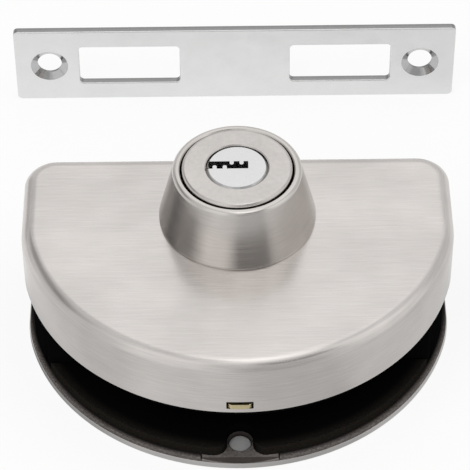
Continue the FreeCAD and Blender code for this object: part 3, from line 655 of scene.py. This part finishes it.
finishes = {
    "front_cover_steel": brushed("brushed cover steel", STEEL, 0.24, 1.0, 0.14, 0.6),
    "back_cover_steel": brushed("brushed back steel", (0.6, 0.582, 0.568), 0.32, 1.0, 0.14, 0.7),
    "guard_steel": brushed("turned guard steel", (0.63, 0.6, 0.573), 0.18, 1.6, 0.14, 0.7),
    "housing_steel": grained("polished housing", (0.61, 0.58, 0.558), 1.0, 0.22, 1.2, 0.015 * MM, 0.11),
    "plug_chrome": grained("satin plug", (0.74, 0.74, 0.74), 1.0, 0.25, 1.6, 0.01 * MM, 0.025),
    # The back plate's ledge, painted darker towards the pad as shade
    "cast_plate": shade_banded("cast back plate", LEDGE_SHADED, LEDGE_LIT, LEDGE_BAND, 0.2, 0.5, 0.05 * MM),
    "cast_foot": grained("cast foot", (0.195, 0.176, 0.165), 0.3, 0.5, 0.5, 0.05 * MM, 0.7),
    "cast_case": grained("black case", (0.003, 0.003, 0.0031), 0.0, 0.85, 0.4, 0.03 * MM, 0.4, 0.0),
    "cast_chassis": grained("cast chassis", (0.16, 0.16, 0.165), 0.7, 0.45, 0.5, 0.05 * MM, 0.2),
    "gasket_rubber": grained("black rubber", RUBBER, 0.0, 0.85, 0.25, 0.03 * MM, 0.5, 0.0),
    "catch_brass": grained("catch brass", (0.64, 0.55, 0.33), 1.0, 0.3, 0.6, 0.015 * MM, 0.12),
    "pin_brass": grained("pin brass", (0.58, 0.45, 0.24), 1.0, 0.28, 0.6, 0.01 * MM, 0.1),
    "bolt_steel": grained("bolt nickel", (0.52, 0.51, 0.5), 1.0, 0.25, 0.8, 0.01 * MM, 0.06),
    "slide_steel": grained("slide steel", (0.38, 0.38, 0.39), 1.0, 0.35, 0.8, 0.02 * MM, 0.12),
    "plated_steel": grained("zinc plated steel", (0.45, 0.45, 0.44), 1.0, 0.33, 0.9, 0.02 * MM, 0.12),
    "faceplate_steel": grained("faceplate steel", (0.58, 0.56, 0.54), 1.0, 0.28, 0.6, 0.01 * MM, 0.05),
    "stud_steel": grained("stud steel", (0.62, 0.615, 0.61), 0.3, 0.45, 0.4, 0.02 * MM, 0.15),
    "spring_steel": grained("spring steel", (0.4, 0.4, 0.41), 1.0, 0.3, 0.6, 0.01 * MM, 0.1),
    "strike_steel": grained("strike steel", (0.83, 0.83, 0.83), 1.0, 0.45, 3.0, 0.03 * MM, 0.04),
    "screw_steel": grained("screw steel", (0.35, 0.35, 0.355), 1.0, 0.32, 0.7, 0.015 * MM, 0.12),
}

# Finishes of some faces of a piece, with painted light or shade
# Strike's side and window walls: darker metal, as painted shade on its edges
edge_with_painted_shade = grained("edge with painted shade", (0.3, 0.3, 0.3), 1.0, 0.18, 0.8, 0.01 * MM, 0.1)
# Back pad: painted light along its outer edge, and painted shade inwards, under the cover
rubber_with_painted_light = shade_banded("rubber with painted light and shade", RUBBER, RUBBER_LIT_EDGE, LIT_EDGE_BAND, 0.0, 0.33, 0.05 * MM)
# Plug's chamfer and the strike's countersinks: polished, and darker than the metal round them as painted
# shade
polished_edge_with_shade = grained("polished edge with painted shade", (0.5, 0.5, 0.5), 1.0, 0.12, 0.8, 0.01 * MM, 0.1)
shaded_edge = grained("shaded edge", (0.05, 0.042, 0.038), 0.2, 0.6, 0.35, 0.05 * MM, 0.4, 0.1)


# Pieces of the lock that replace the plain solids


def make_front_cover():
    inner = COVER_WALL + COVER_INNER_ROUND
    wall = rounded_wall(rim_z, cover_top_z, COVER_EDGE, COVER_ROUND)
    outer = [(half_moon(inset), z) for inset, z in wall]
    outer.append((half_moon(COVER_ROUND + SUPPORT), cover_top_z))
    rays = [point.normalized() for point in outer[-1][0]]
    hole = [ray * COVER_HOLE_RADIUS for ray in rays]
    inner_z = cover_top_z - COVER_WALL
    lining = [(inset + COVER_WALL, z) for inset, z in rounded_wall(rim_z, inner_z, 0, COVER_INNER_ROUND)]
    lining = [(half_moon(inset), z) for inset, z in lining[::-1]]
    loops = outer + [(hole, cover_top_z), (hole, inner_z), (half_moon(inner + SUPPORT), inner_z)] + lining
    rings = [at_height(points, z) for points, z in loops]
    cover = loft("front_cover_shell", rings, closed=True, flat_angle=0.0)
    low_z = catch_low.z - WINDOW_FLOOR_ROOM
    half = WINDOW_WIDTH / 2
    points = rounded_box(-half, half, low_z, low_z + WINDOW_HEIGHT, WINDOW_ROUND)
    cutter = plate("cutter", points, [(0, 0), (0, 3 * COVER_WALL)])
    turn_upright(cutter, COVER_WALL * 2 - arc_depth, 0)
    cut(cover, cutter)
    dress(cover, "lock_body", "front_cover", "front_cover_steel")


def make_back_cover():
    wall = rounded_wall(0, pan_high.z, PAN_ROUND, PAN_EDGE)
    profile = [(PAN_ROUND + SUPPORT, 0)] + wall + [(PAN_WALL - PAN_EDGE, pan_high.z)]
    profile += [(PAN_WALL, pan_high.z - PAN_EDGE), (PAN_WALL, PAN_WALL)]
    rings = [at_height(half_moon(inset), z) for inset, z in profile]
    pan = loft("back_cover_pan", rings, closed=False, flat_angle=0.0)
    dress(pan, "lock_body", "back_cover", "back_cover_steel")


def make_back_plate():
    flange_z = flange_high.z - FLANGE_THICKNESS
    wall = rounded_wall(flange_z, flange_high.z, 0, FLANGE_EDGE)
    profile = [(LOWER_INSET, flange_low.z), (LOWER_INSET, flange_z)]
    profile += [(FLANGE_INSET + inset, z) for inset, z in wall]
    profile.append((FLANGE_INSET + FLANGE_EDGE + SUPPORT, flange_high.z))
    rings = [at_height(half_moon(inset), z) for inset, z in profile]
    flange = loft("back_plate_casting", rings, closed=False)
    low = (foot_low.x - SEAM, -2 * arc_depth, -PAN_WALL)
    high = (foot_high.x + SEAM, foot_high.y + SEAM, 2 * flange_high.z)
    cut(flange, block(low, high))
    dress(flange, "lock_body", "back_plate", "cast_plate")


def make_foot():
    radius, centre_y = main_arc()
    radius -= FLANGE_INSET
    half = foot_high.x
    end = math.acos(half / radius)
    outline = arc_points(0, centre_y, radius, -math.pi + end, -end)
    outline += [Vector((half, foot_high.y)), Vector((-half, foot_high.y))]
    step = LOWER_INSET - FLANGE_INSET
    shelf_z = foot_high.z - FLANGE_THICKNESS
    wall = [(step, foot_low.z), (step, shelf_z)] + rounded_wall(shelf_z, foot_high.z, 0, FOOT_EDGE)
    wall.append((FOOT_EDGE + SUPPORT, foot_high.z))
    hole = [(0, foot_low.z), (0, foot_high.z - FOOT_HOLE_EDGE), (FOOT_HOLE_EDGE, foot_high.z)]
    foot = plate("plate_foot_casting", outline, wall, [(circle(0, stud_y, FOOT_HOLE_RADIUS), hole)])
    cutter = block((-2 * half, -half, 0), (2 * half, half, half))
    bevel_y = -arc_depth + FLANGE_INSET + FOOT_BEVEL
    tilt = Matrix.Translation((0, bevel_y, foot_high.z)) @ Matrix.Rotation(math.pi / 4, 4, "X")
    cutter.data.transform(tilt)
    cut(foot, cutter)
    dress(foot, "lock_body", "plate_foot", "cast_foot")
    hole_reach = FOOT_HOLE_RADIUS + FOOT_HOLE_EDGE

    def shaded(face):
        in_hole = math.hypot(face.center.x, face.center.y - stud_y) < hole_reach
        return abs(face.normal.z) < FLAT_NORMAL and (in_hole or face.normal.z > TILTED_NORMAL)

    mark_faces(foot, shaded_edge, shaded)


def make_stud():
    radius = stud_high.x
    profile = [(radius - inset, z) for inset, z in rounded_wall(stud_low.z, stud_high.z, 0, STUD_EDGE)]
    profile.append((radius - STUD_EDGE - STUD_FLAT, stud_high.z))
    profile.append((radius / 2, stud_high.z - STUD_DISH))
    stud = lathe("cover_stud_end", profile, closed=False, centre_y=stud_y, flat_angle=0.0)
    dress(stud, "lock_body", "cover_stud", "stud_steel")


def make_catch():
    # T-shaped, with a tip that is lower than the rest and has cut corners
    wing, half = catch_high.x, CATCH_HALF
    wing_y = catch_high.y - CATCH_WING_LENGTH
    nose, nose_y = half - CATCH_CORNER, catch_low.y + CATCH_CORNER
    side = [(nose, catch_low.y), (half, nose_y), (half, wing_y), (wing, wing_y), (wing, catch_high.y)]
    outline = [Vector((x, y)) for x, y in side] + [Vector((-x, y)) for x, y in side[::-1]]
    step_z = catch_low.z + CATCH_TIP_HEIGHT
    catch = plate("cover_catch_nose", outline, [(0, catch_low.z), (0, catch_high.z)])
    low = (-2 * half, 2 * catch_low.y, step_z)
    high = (2 * half, catch_low.y + CATCH_TIP_DEPTH, 2 * step_z)
    cut(catch, block(low, high))
    bevel = catch.modifiers.new("edges", "BEVEL")
    bevel.width = CATCH_EDGE
    bevel.segments = BEVEL_STEPS
    dress(catch, "catch", "cover_catch", "catch_brass")


def pad_outline(inset, notched):
    # Segment of the large arc on the arc's side of the case, with a flared notch if it has one
    radius, centre_y = main_arc()
    radius -= inset
    end = math.asin((pad_high.y - centre_y) / radius)
    if not notched:
        return arc_points(0, centre_y, radius, -math.pi - end, end)
    flare_x = PAD_NOTCH + PAD_FLARE
    flare_y = centre_y - math.sqrt((radius - PAD_FLARE) ** 2 - flare_x ** 2)
    meet = math.atan2(flare_y - centre_y, flare_x)
    points = arc_points(0, centre_y, radius, -math.pi - end, -math.pi - meet)[:-1]
    points += arc_points(-flare_x, flare_y, PAD_FLARE, -math.pi - meet, 0)
    points += arc_points(0, stud_y, PAD_NOTCH, math.pi, 0)
    points += arc_points(flare_x, flare_y, PAD_FLARE, math.pi, 2 * math.pi + meet)[:-1]
    return points + arc_points(0, centre_y, radius, meet, end)


def make_case():
    # The case's own solid, cut to side walls in line with the pad
    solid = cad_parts["lock_case"]
    case = bpy.data.objects.new("lock_case_body", solid.data.copy())
    bpy.context.scene.collection.objects.link(case)
    low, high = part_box("lock_case")
    back_shift = PAD_INSET - (edge_y - high.y)
    outline = half_moon(PAD_INSET)
    for point in outline:
        point.y += back_shift if point.y > 0 else 0
    kept = plate("cutter", outline, [(0, 2 * low.z - high.z), (0, 2 * high.z - low.z)])
    cut(case, kept, "INTERSECT")
    dress(case, "lock_body", "lock_case", "cast_case")


def make_pads():
    wall = rounded_wall(pad_low.z, pad_high.z, 0, PAD_EDGE) + [(PAD_EDGE + SUPPORT, pad_high.z)]
    pad = plate("back_pad", pad_outline(PAD_INSET, notched=True), wall)
    dress(pad, "lock_body", "back_gasket", "gasket_rubber")
    # The back pad gets painted light along its outer edge and painted shade inwards
    pad.data.materials[0] = rubber_with_painted_light
    wall = rounded_wall(front_pad_low.z, front_pad_high.z, PAD_EDGE, 0)
    pad = plate("front_pad", pad_outline(FRONT_PAD_INSET, notched=False), wall)
    dress(pad, "lock_body", "front_gasket", "gasket_rubber")


def make_guard():
    low_z, base_z, top_z = guard_low.z, cover_top_z, guard_high.z
    base = guard_high.x
    slope_z = base_z + GUARD_RIM
    top = GUARD_BORE_RADIUS + GUARD_TOP_WALL
    tilt = math.atan2(base - top, top_z - slope_z)
    round_x = top - GUARD_LIP_ROUND * math.tan(math.pi / 4 - tilt / 2)
    round_z = top_z - GUARD_LIP_ROUND
    profile = [(GUARD_BORE_RADIUS, low_z), (SPIGOT_RADIUS, low_z), (SPIGOT_RADIUS, base_z)]
    profile += [(base - inset, z) for inset, z in rounded_wall(base_z, slope_z, GUARD_RIM_EDGE, 0)]
    profile.append((base - SUPPORT * math.tan(tilt), slope_z + SUPPORT))
    angles = [tilt + (math.pi / 2 - tilt) * step / LIP_STEPS for step in range(LIP_STEPS + 1)]
    lip = [
        (round_x + GUARD_LIP_ROUND * math.cos(angle), round_z + GUARD_LIP_ROUND * math.sin(angle))
        for angle in angles
    ]
    profile.append((lip[0][0] + SUPPORT * math.tan(tilt), lip[0][1] - SUPPORT))
    profile += lip + [(round_x - SUPPORT, top_z)]
    profile += [(GUARD_BORE_RADIUS + GUARD_BORE_EDGE, top_z), (GUARD_BORE_RADIUS, top_z - GUARD_BORE_EDGE)]
    guard = lathe("cylinder_guard_cone", profile, closed=True)
    dress(guard, "lock_body", "cylinder_guard", "guard_steel")


def make_housing():
    top_z, radius = housing_high.z, housing_high.x
    head_bore = plug_high.x + HEAD_CLEARANCE
    step_z = plug_high.z - PLUG_HEAD_DEPTH - HEAD_CLEARANCE
    wall = rounded_wall(housing_low.z, top_z, 0, HOUSING_ROUND)
    profile = [(radius - inset, z) for inset, z in wall]
    profile.append((radius - HOUSING_ROUND - SUPPORT, top_z))
    profile += [(head_bore + HOUSING_BORE_EDGE, top_z), (head_bore, top_z - HOUSING_BORE_EDGE)]
    bore = head_bore - PLUG_STEP
    profile += [(head_bore, step_z), (bore, step_z), (bore, housing_low.z)]
    housing = lathe("cylinder_housing_body", profile, closed=True)
    dress(housing, "lock_body", "cylinder_housing", "housing_steel")


def key_slot():
    # Outline of the slot, with round-ended wards from below and above, open past the plug's left edge
    low_y = KEY_SLOT_Y - KEY_SLOT_HEIGHT / 2
    high_y = KEY_SLOT_Y + KEY_SLOT_HEIGHT / 2
    half = WARD_WIDTH / 2
    rise = WARD_HEIGHT - half
    far_x = -2 * plug_high.x
    points = [Vector((far_x, low_y))]
    for x in LOWER_WARDS:
        ward = arc_points(x, low_y + rise, half, math.pi, 0)
        points += [Vector((x - half, low_y))] + ward + [Vector((x + half, low_y))]
    points += [Vector((KEY_SLOT_END_X, low_y)), Vector((KEY_SLOT_END_X, high_y))]
    for x in reversed(UPPER_WARDS):
        ward = arc_points(x, high_y - rise, half, 0, -math.pi)
        points += [Vector((x + half, high_y))] + ward + [Vector((x - half, high_y))]
    return points + [Vector((far_x, high_y))]


def make_plug():
    top_z, radius = plug_high.z, plug_high.x
    shank = radius - PLUG_STEP
    step_z = top_z - PLUG_HEAD_DEPTH
    profile = [(shank, plug_low.z), (shank, step_z), (radius, step_z), (radius, top_z - PLUG_EDGE)]
    profile += [(radius - PLUG_EDGE, top_z)]
    plug = lathe("cylinder_plug_body", profile, closed=False, flat_angle=math.pi / 2)
    cut(plug, plate("cutter", key_slot(), [(0, top_z - KEY_SLOT_DEPTH), (0, 2 * top_z)]))
    dress(plug, "plug", "cylinder_plug", "plug_chrome")

    def on_edge(face):
        return TILTED_NORMAL < face.normal.z < FLAT_NORMAL and face.center.z > step_z

    # Its chamfer is polished and painted darker, as shade round the face
    mark_faces(plug, polished_edge_with_shade, on_edge)


def make_strike():
    x, height, thickness = strike_high.x, strike_high.z, strike_high.y - strike_low.y
    outline = rounded_box(-x, x, 0, height, STRIKE_ROUND)
    wall = rounded_wall(0, thickness, STRIKE_BACK_EDGE, STRIKE_EDGE)
    wall.append((STRIKE_EDGE + SUPPORT, thickness))
    half_x = (bolt_high.x - bolt_low.x) / 2 + STRIKE_SIDE_PLAY
    half_z = (bolt_high.z - bolt_low.z) / 2 + STRIKE_PLAY
    screw_x = x - STRIKE_SCREW_MARGIN
    sink = STRIKE_SINK_RADIUS - STRIKE_SCREW_RADIUS
    sink_z = thickness - STRIKE_SINK_DEPTH
    screw = [(STRIKE_BACK_EDGE, 0), (0, STRIKE_BACK_EDGE), (0, sink_z), (sink, thickness)]
    holes = []
    for side in (-1, 1):
        low_x, high_x = side * bolt_x - half_x, side * bolt_x + half_x
        window = rounded_box(low_x, high_x, bolt_z - half_z, bolt_z + half_z, STRIKE_WINDOW_ROUND)
        holes.append((window, wall))
        holes.append((circle(side * screw_x, bolt_z, STRIKE_SCREW_RADIUS), screw))
    strike = plate("strike_plate_sheet", outline, wall, holes)
    turn_upright(strike, strike_high.y, 0)
    dress(strike, "lock_body", "strike_plate", "strike_steel")
    # Its side and window walls get painted shade
    mark_faces(strike, edge_with_painted_shade, lambda face: abs(face.normal.y) < TILTED_NORMAL)

    def in_sink(face):
        away = math.hypot(abs(face.center.x) - screw_x, face.center.z - bolt_z)
        return away < STRIKE_SINK_RADIUS and TILTED_NORMAL < abs(face.normal.y) < FLAT_NORMAL

    # Its countersinks are polished and painted darker, as shade
    mark_faces(strike, polished_edge_with_shade, in_sink)


make_front_cover()
make_back_cover()
make_back_plate()
make_foot()
make_stud()
make_catch()
make_case()
make_pads()
make_guard()
make_housing()
make_plug()
make_strike()


# Finish of the plain solids

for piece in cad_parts.values():
    slot = piece.data.materials[0].name.split(".")[0]
    piece.data.materials.clear()
    piece.data.materials.append(finishes[slot])


# Stage: a white floor that keeps the object's shadow, and a studio for the metal to reflect


def azimuth_of(tree, place):
    # Azimuth of a place or a direction, in degrees, and its height
    axes = tree.nodes.new("ShaderNodeSeparateXYZ")
    tree.links.new(place, axes.inputs[0])
    front = math_node(tree, "MULTIPLY", axes.outputs["Y"], -1)
    angle = math_node(tree, "ARCTAN2", axes.outputs["X"], front)
    return math_node(tree, "DEGREES", angle), axes.outputs["Z"]


def by_azimuth(tree, azimuth, levels):
    # Grey that follows a list of azimuths and levels
    node = tree.nodes.new("ShaderNodeValToRGB")
    ramp = node.color_ramp
    ramp.interpolation = "EASE"
    while len(ramp.elements) < len(levels):
        ramp.elements.new(1.0)
    for element, (place, level) in zip(ramp.elements, levels):
        element.position = place / 360 + 0.5
        element.color = (level, level, level, 1)
    tree.links.new(math_node(tree, "MULTIPLY_ADD", azimuth, 1 / 360, 0.5), node.inputs["Fac"])
    return node.outputs["Color"]


def make_floor():
    # The camera sees white with the object's shadow, and glossy rays see a glow that changes with azimuth,
    # with a painted contact shadow right beside the object
    mesh = bpy.data.meshes.new("floor")
    half = FLOOR_SIZE / 2
    corners = [(-half, -half, 0), (half, -half, 0), (half, half, 0), (-half, half, 0)]
    mesh.from_pydata(corners, [], [(0, 1, 2, 3)])
    floor = bpy.data.objects.new("floor", mesh)
    bpy.context.scene.collection.objects.link(floor)
    material, tree, shader = new_material("white floor", FLOOR_COLOUR, 0.0, 1.0)
    shader.inputs["Specular IOR Level"].default_value = 0.0
    path = tree.nodes.new("ShaderNodeLightPath")
    place = tree.nodes.new("ShaderNodeTexCoord")
    azimuth, _ = azimuth_of(tree, place.outputs["Object"])
    direct = math_node(tree, "MAXIMUM", path.outputs["Is Camera Ray"], path.outputs["Is Transmission Ray"])
    glow = math_node(tree, "MULTIPLY", direct, FLOOR_GLOW)
    radius = main_arc()[0]
    contact_span = (radius / MM, (radius + CONTACT_REACH) / MM)
    # Painted contact shadow on the floor's glow, by azimuth
    darker = map_range(tree, from_axis(tree, body_coordinates(tree)), contact_span, (-1.0, 0.0))
    painted_contact_shadow = by_azimuth(tree, azimuth, FLOOR_CONTACT)
    share_left = math_node(tree, "MULTIPLY_ADD", darker, painted_contact_shadow, 1.0)
    reflected = math_node(tree, "MULTIPLY", by_azimuth(tree, azimuth, FLOOR_REFLECTION), share_left)
    seen = tree.nodes.new("ShaderNodeEmission").outputs["Emission"]
    mirrored = tree.nodes.new("ShaderNodeEmission")
    tree.links.new(reflected, mirrored.inputs["Color"])
    surface = mixed_shader(tree, shader.outputs["BSDF"], seen, glow)
    surface = mixed_shader(tree, surface, mirrored.outputs["Emission"], path.outputs["Is Glossy Ray"])
    tree.links.new(surface, tree.nodes["Material Output"].inputs["Surface"])
    floor.data.materials.append(material)


def inside(tree, value, span, edge):
    # 1 within the span, and 0 past its soft edges
    middle, half = (span[0] + span[1]) / 2, (span[1] - span[0]) / 2
    away = math_node(tree, "ABSOLUTE", math_node(tree, "SUBTRACT", value, middle))
    return map_range(tree, away, (half + edge / 2, half - edge / 2), interpolation="SMOOTHSTEP")


def studio_level(tree, direction, bounced):
    # Light from a direction. Bounced is 1 for a ray that has met two pieces of metal, and else 0.
    azimuth, height = azimuth_of(tree, direction)
    azimuth = math_node(tree, "WRAP", azimuth, SEAM_AZIMUTH + 360, SEAM_AZIMUTH)
    elevation = math_node(tree, "DEGREES", math_node(tree, "ARCSINE", height))
    level = TENT
    for boxes, shown in ((BOXES, 1.0), (BOUNCED_BOXES, bounced)):
        for azimuths, elevations, edge, light in boxes:
            across = inside(tree, azimuth, azimuths, edge)
            up = inside(tree, elevation, elevations, edge)
            share = math_node(tree, "MULTIPLY", math_node(tree, "MULTIPLY", across, up), shown)
            level = math_node(tree, "MULTIPLY_ADD", share, light, level)
    return level


def background(tree, strength):
    # White light of this strength
    node = tree.nodes.new("ShaderNodeBackground")
    node.inputs["Color"].default_value = (1, 1, 1, 1)
    feed(tree, strength, node.inputs["Strength"])
    return node.outputs["Background"]


def make_world():
    # The camera sees white, glossy rays see the studio, and the rest is even light
    world = bpy.data.worlds.new("studio")
    bpy.context.scene.world = world
    world.use_nodes = True
    tree = world.node_tree
    place = tree.nodes.new("ShaderNodeTexCoord")
    path = tree.nodes.new("ShaderNodeLightPath")
    bounced = math_node(tree, "GREATER_THAN", path.outputs["Ray Depth"], BOUNCED_DEPTH)
    studio = background(tree, studio_level(tree, place.outputs["Generated"], bounced))
    light = mixed_shader(tree, background(tree, AMBIENT), studio, path.outputs["Is Glossy Ray"])
    light = mixed_shader(tree, light, background(tree, 1.0), path.outputs["Is Camera Ray"])
    tree.links.new(light, tree.nodes["World Output"].inputs["Surface"])


def towards(azimuth, elevation):
    # Unit vector, with the azimuth counted from the camera's side. Both angles are in radians.
    level = math.cos(elevation)
    return Vector((math.sin(azimuth) * level, -math.cos(azimuth) * level, math.sin(elevation)))


def make_lamp(name, azimuth, elevation, distance, size, power):
    # Soft box that faces the object
    direction = towards(math.radians(azimuth), math.radians(elevation))
    lamp = bpy.data.lights.new(name, "AREA")
    lamp.shape = "SQUARE"
    lamp.size = size
    lamp.energy = power
    light = bpy.data.objects.new(name, lamp)
    light.location = direction * distance
    light.rotation_euler = direction.to_track_quat("Z", "Y").to_euler()
    light.visible_glossy = False
    bpy.context.scene.collection.objects.link(light)


def make_camera():
    data = bpy.data.cameras.new("camera")
    data.lens = CAMERA_LENS
    data.sensor_width = CAMERA_SENSOR
    camera = bpy.data.objects.new("camera", data)
    bpy.context.scene.collection.objects.link(camera)
    back = towards(CAMERA_YAW, math.radians(CAMERA_ELEVATION))
    right = Vector((math.cos(CAMERA_YAW), math.sin(CAMERA_YAW), 0))
    up = back.cross(right)
    level = Matrix((right, up, back)).transposed().to_4x4()
    place = Matrix.Translation(Vector(CAMERA_TARGET) + back * CAMERA_DISTANCE)
    camera.matrix_world = place @ level @ Matrix.Rotation(CAMERA_ROLL, 4, "Z")
    bpy.context.scene.camera = camera


make_floor()
make_world()
for lamp in LAMPS:
    make_lamp(*lamp)
make_camera()
bpy.context.scene.view_settings.view_transform = "Standard"
